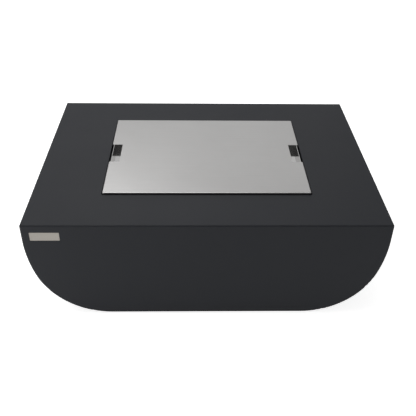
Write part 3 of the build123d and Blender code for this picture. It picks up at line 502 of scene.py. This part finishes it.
brass, tree, shader, place = new_finish("machined_brass", metal=1.0)
tone = use_group(tree, mottle, Vector=place, Dark=(0.42, 0.26, 0.09, 1),
                 Light=(0.72, 0.52, 0.22, 1), Cloud_Scale=40.0, Speckle_Scale=250.0, Speckle=0.35)
turned = use_group(tree, grain, Vector=place, Stretch=(1500.0, 1500.0, 60.0), Low=0.22, High=0.4,
                   Strength=0.08)
tree.links.new(tone.outputs["Color"], shader.inputs["Base Color"])
tree.links.new(turned.outputs["Roughness"], shader.inputs["Roughness"])
tree.links.new(turned.outputs["Normal"], shader.inputs["Normal"])
coat("gas_orifice", brass)

# ---------------------------------------------------------------------------------------------
# Rock grate: flat bars welded in a frame and sprayed with black stove paint, greyed by heat. It
# stands on six short legs on the pan floor.
stove_paint = moulded("stove_paint", dark=(0.012, 0.012, 0.012, 1), light=(0.045, 0.042, 0.04, 1),
                      rough=0.7, speckle=0.5, specular=0.4, relief_scale=600.0,
                      relief_strength=0.35)
coat("rock_grate", stove_paint)
coat("grate_legs", stove_paint)

# ---------------------------------------------------------------------------------------------
# Lava rock: loose lumps of red-black volcanic rock, full of gas holes, poured over the grate in
# one full layer with smaller pieces between.
rock_detail = 3
rock_swell = 1.18
rock_sizes = (0.82, 1.06)
rock_shift = 0.009
pebble_detail = 2
pebble_count = 170
pebble_sizes = (0.008, 0.016)
pebble_shape = (1, 0.85, 0.8)
pebble_low_margin = (0.015, 0.015, 0.016)
pebble_high_margin = (0.015, 0.015, 0.012)
rock_noise = ((1.3, 0.32), (4.0, 0.16), (9.0, 0.07))
rock_seed = random.Random(21)
lava, tree, shader, place = new_finish("red_black_lava", rough=0.92, specular=0.25)
tone = use_group(tree, mottle, Vector=place, Dark=(0.022, 0.015, 0.013, 1),
                 Light=(0.13, 0.06, 0.042, 1), Cloud_Scale=22.0, Speckle_Scale=320.0,
                 Speckle=0.45)
# Gas holes: the colour is multiplied darker inside them as painted shade in the holes, and they are
# pressed in with a bump.
bubbles = node(tree, "ShaderNodeTexVoronoi", {"feature": "SMOOTH_F1"}, Vector=place, Scale=240.0)
sunk = node(tree, "ShaderNodeMapRange", Value=bubbles.outputs["Distance"], From_Min=0.12,
            From_Max=0.42)
shaded = node(tree, "ShaderNodeMix", {"data_type": "RGBA", "blend_type": "MULTIPLY"}, i0=0.75,
              i6=tone.outputs["Color"], i7=sunk.outputs["Result"])
tree.links.new(shaded.outputs[2], shader.inputs["Base Color"])
holes = node(tree, "ShaderNodeBump", Height=sunk.outputs["Result"], Strength=0.8, Distance=0.0014)
tree.links.new(holes.outputs["Normal"], shader.inputs["Normal"])


def random_vector(low, high):
    """Vector of three random numbers, each between a low and a high one."""
    return Vector([rock_seed.uniform(low[k], high[k]) for k in range(3)])


def add_rock(build, centre, radii, detail):
    """One lump: a ball made uneven by three sizes of noise, turned, then squashed to radii."""
    angle = rock_seed.uniform(0, math.tau)
    turn = Matrix.Rotation(angle, 4, random_vector((-1, -1, -1), (1, 1, 1)).normalized())
    shift = random_vector((0, 0, 0), (50, 50, 50))
    for vert in bmesh.ops.create_icosphere(build, subdivisions=detail, radius=1.0)["verts"]:
        away = vert.co.normalized()
        spread = 1.0 + sum(weight * noise.noise(away * scale + shift)
                           for scale, weight in rock_noise)
        vert.co = centre + (turn @ (away * spread)) * radii


build = bmesh.new()
area_low, area_high = (Vector(corner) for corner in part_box("lava_rocks"))
for low, high in lumps("lava_rocks"):
    radii = (high - low) / 2 * rock_swell * rock_seed.uniform(*rock_sizes)
    radii.z = (high - low).z / 2
    place = (low + high) / 2
    for axis in range(2):
        place[axis] += rock_seed.uniform(-rock_shift, rock_shift)
        place[axis] = min(max(place[axis], area_low[axis] + radii[axis]),
                          area_high[axis] - radii[axis])
    add_rock(build, place, radii, rock_detail)
for _ in range(pebble_count):
    reach = rock_seed.uniform(*pebble_sizes)
    spot = random_vector(area_low + Vector(pebble_low_margin),
                         area_high - Vector(pebble_high_margin))
    add_rock(build, spot, Vector(pebble_shape) * reach, pebble_detail)
for face in build.faces:
    face.smooth = True
piece("lava_rock_bed", build, lava, "table_body", "lava", "lava_rocks")

# ---------------------------------------------------------------------------------------------
# Pilot: a bracket on the pan floor holds the pilot burner between a spark electrode in a white
# ceramic sleeve and a thermocouple, behind a bent wind shield.
pilot_steel = grained_metal("pilot_steel", dark=(0.34, 0.30, 0.26, 1), light=(0.5, 0.48, 0.45, 1),
                            low=0.3, high=0.45, stretch=(300.0, 300.0, 300.0), strength=0.08)
for name in ("pilot_bracket", "pilot_shield", "pilot_burner", "thermocouple"):
    coat(name, pilot_steel)
bare_tip = 0.0098
sleeve_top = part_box("spark_electrode")[1][2] - bare_tip
ceramic, tree, shader, place = new_finish("ceramic_and_wire", rough=0.35)
level = node(tree, "ShaderNodeSeparateXYZ", Vector=place)
bare_wire = node(tree, "ShaderNodeMath", {"operation": "GREATER_THAN"}, i0=level.outputs["Z"],
                 i1=sleeve_top)
glaze = use_group(tree, mottle, Vector=place, Dark=(0.62, 0.60, 0.55, 1),
                  Light=(0.8, 0.79, 0.76, 1), Cloud_Scale=60.0, Speckle_Scale=300.0, Speckle=0.2)
shown = node(tree, "ShaderNodeMix", {"data_type": "RGBA"}, i0=bare_wire.outputs[0],
             i6=glaze.outputs["Color"], i7=(0.4, 0.38, 0.36, 1))
tree.links.new(shown.outputs[2], shader.inputs["Base Color"])
tree.links.new(bare_wire.outputs[0], shader.inputs["Metallic"])
coat("spark_electrode", ceramic)

# ---------------------------------------------------------------------------------------------
# Heat shield: a flat steel sheet hung under the pan on four spacers, to keep its heat off the
# valve and the hoses.
mill_steel = grained_metal("mill_steel", dark=(0.40, 0.40, 0.39, 1), light=(0.52, 0.52, 0.51, 1),
                           low=0.3, high=0.45, stretch=(500.0, 5.0, 500.0), strength=0.1)
coat("heat_shield", mill_steel)
coat("heat_shield_spacers", mill_steel)

# ---------------------------------------------------------------------------------------------
# Control box and panel: a shallow tray screwed behind the opening in the back wall, and the
# flat plate in it that carries the valve and the igniter. A printed wedge shows the flame size.
coat("control_box", mill_steel)
panel_steel = grained_metal("panel_satin_steel", dark=(0.42, 0.42, 0.41, 1),
                            light=(0.52, 0.52, 0.51, 1), low=0.28, high=0.4,
                            stretch=(5.0, 700.0, 700.0))
coat("control_panel", panel_steel)
bright_screws("control_panel_screws", "panel_screws", (0, 1, 0))
bright_screws("control_box_screws", "box_screws", (0, -1, 0))
print_ink = moulded("print_ink", dark=(0.006, 0.006, 0.006, 1), light=(0.015, 0.015, 0.015, 1),
                    rough=0.6)
wedge_radius = 0.0275
wedge_width = 0.0032
wedge_shift = wedge_width / 2.2
wedge_end = -0.002
low_dot_radius = 0.0017
low_dot_place = (0.003, wedge_radius - 0.0004, 0)
ink_height = 0.00012
knob_low, knob_high = (Vector(corner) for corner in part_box("control_knob"))
panel_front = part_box("control_panel")[1][1]
dial = Vector(((knob_low.x + knob_high.x) / 2, panel_front, (knob_low.z + knob_high.z) / 2))
build = bmesh.new()
outer = bmesh.ops.create_circle(build, segments=96, radius=wedge_radius)["verts"]
inner = bmesh.ops.create_circle(build, segments=96, radius=wedge_radius - wedge_width / 2,
                                matrix=Matrix.Translation((0, wedge_shift, 0)))["verts"]
rings = list({edge for vert in outer + inner for edge in vert.link_edges})
bmesh.ops.bridge_loops(build, edges=rings)
bmesh.ops.bisect_plane(build, geom=build.verts[:] + build.edges[:] + build.faces[:],
                       plane_co=(wedge_end, 0, 0), plane_no=(1, 0, 0), clear_outer=True)
bmesh.ops.create_circle(build, cap_ends=True, segments=24, radius=low_dot_radius,
                        matrix=Matrix.Translation(low_dot_place))
bmesh.ops.solidify(build, geom=build.faces[:], thickness=ink_height)
bmesh.ops.transform(build, verts=build.verts[:], matrix=Matrix.Translation(dial)
                    @ Matrix.Rotation(math.radians(-90), 4, "X") @ Matrix.Rotation(math.pi, 4, "Y"))
lift = panel_front + ink_height - max(vert.co.y for vert in build.verts)
bmesh.ops.translate(build, verts=build.verts[:], vec=(0, lift, 0))
bmesh.ops.recalc_face_normals(build, faces=build.faces[:])
piece("flame_size_mark", build, print_ink, "table_body", "black_plastic")

# ---------------------------------------------------------------------------------------------
# Gas valve and knob: a brass valve body clamped to the panel by a thin nut, a brass spindle, and
# a black moulded knob with a white pointer on its grip.
coat("gas_valve", brass)
coat("valve_nut", zinc)
coat("valve_spindle", brass)
knob_plastic = moulded("knob_plastic", dark=(0.010, 0.010, 0.011, 1),
                       light=(0.022, 0.022, 0.024, 1), rough=0.42, speckle=0.3, specular=0.5,
                       relief_scale=1200.0, relief_strength=0.2)
coat("control_knob", knob_plastic)
white_ink = moulded("white_ink", dark=(0.68, 0.68, 0.66, 1), light=(0.8, 0.8, 0.78, 1), rough=0.5)
pointer_width = 0.0016
pointer_sunk = 0.001
pointer_start = 0.005
pointer_margin = 0.0035
pointer_corner = 0.00005
build = bmesh.new()
add_block(build, (dial.x - pointer_width / 2, knob_high.y - pointer_sunk, dial.z + pointer_start),
          (dial.x + pointer_width / 2, knob_high.y + ink_height, knob_high.z - pointer_margin))
round_edges(build, build.edges[:], pointer_corner, 2)
piece("knob_pointer", build, white_ink, "control_knob", "black_plastic")

# ---------------------------------------------------------------------------------------------
# Igniter: a black moulded body through the panel with one battery in it, a cap that unscrews to
# change the battery, and a red push button in the cap.
coat("igniter_body", knob_plastic)
coat("igniter_cap", knob_plastic)
coat("igniter_battery", zinc)
button_plastic = moulded("button_plastic", dark=(0.22, 0.010, 0.008, 1),
                         light=(0.32, 0.016, 0.012, 1), rough=0.25, speckle=0.3)
coat("igniter_button", button_plastic)

# ---------------------------------------------------------------------------------------------
# Gas inlet: a brass flare fitting clamped by a nut through a steel plate, which four screws hold
# over the port in the back wall.
coat("inlet_bracket", mill_steel)
coat("gas_inlet_fitting", brass)
coat("inlet_nut", zinc)
bright_screws("inlet_plate_screws", "inlet_screws", (0, -1, 0))

# ---------------------------------------------------------------------------------------------
# Hoses, tubes and leads: a black rubber hose to the valve, a drawn aluminium tube to the burner
# and a thinner one to the pilot, a copper thermocouple lead and a sleeved spark lead.
hose_rubber = moulded("hose_rubber", dark=(0.008, 0.008, 0.008, 1),
                      light=(0.018, 0.018, 0.018, 1), rough=0.5)
coat("inlet_hose", hose_rubber)
drawn_tube = grained_metal("drawn_aluminium", dark=(0.62, 0.62, 0.62, 1),
                           light=(0.74, 0.74, 0.74, 1), low=0.25, high=0.4,
                           stretch=(200.0, 200.0, 200.0), strength=0.06)
coat("burner_hose", drawn_tube)
coat("pilot_tube", drawn_tube)
copper = grained_metal("drawn_copper", dark=(0.45, 0.17, 0.09, 1), light=(0.68, 0.32, 0.2, 1),
                       low=0.25, high=0.4, stretch=(200.0, 200.0, 200.0), strength=0.06)
coat("thermocouple_lead", copper)
lead_sleeve = moulded("lead_sleeve", dark=(0.55, 0.54, 0.5, 1), light=(0.7, 0.69, 0.65, 1),
                      rough=0.7, speckle=0.5, specular=0.4, relief_scale=1500.0,
                      relief_strength=0.5)
coat("ignition_lead", lead_sleeve)
coat("tube_nuts", brass)

# ---------------------------------------------------------------------------------------------
# Lid: one folded sheet of stainless steel with a satin grain, and two cups welded under its
# finger notches. It lies loose in the rebate on soft bumpers.
lid_steel = grained_metal("lid_satin_steel", dark=(0.51, 0.505, 0.50, 1),
                          light=(0.57, 0.565, 0.56, 1), low=0.26, high=0.36,
                          stretch=(4.0, 700.0, 700.0))
coat("lid_panel", lid_steel)
cup_steel = grained_metal("cup_bright_steel", dark=(0.56, 0.555, 0.55, 1),
                          light=(0.62, 0.615, 0.61, 1), low=0.07, high=0.13,
                          stretch=(6.0, 500.0, 500.0), strength=0.02)
coat("lid_hand_cup_left", cup_steel)
coat("lid_hand_cup_right", cup_steel)
coat("lid_stiffener_left", mill_steel)
coat("lid_stiffener_right", mill_steel)
silicone = moulded("clear_silicone", dark=(0.42, 0.42, 0.41, 1), light=(0.55, 0.55, 0.54, 1),
                   rough=0.4, speckle=0.3)
coat("lid_bumpers", silicone)
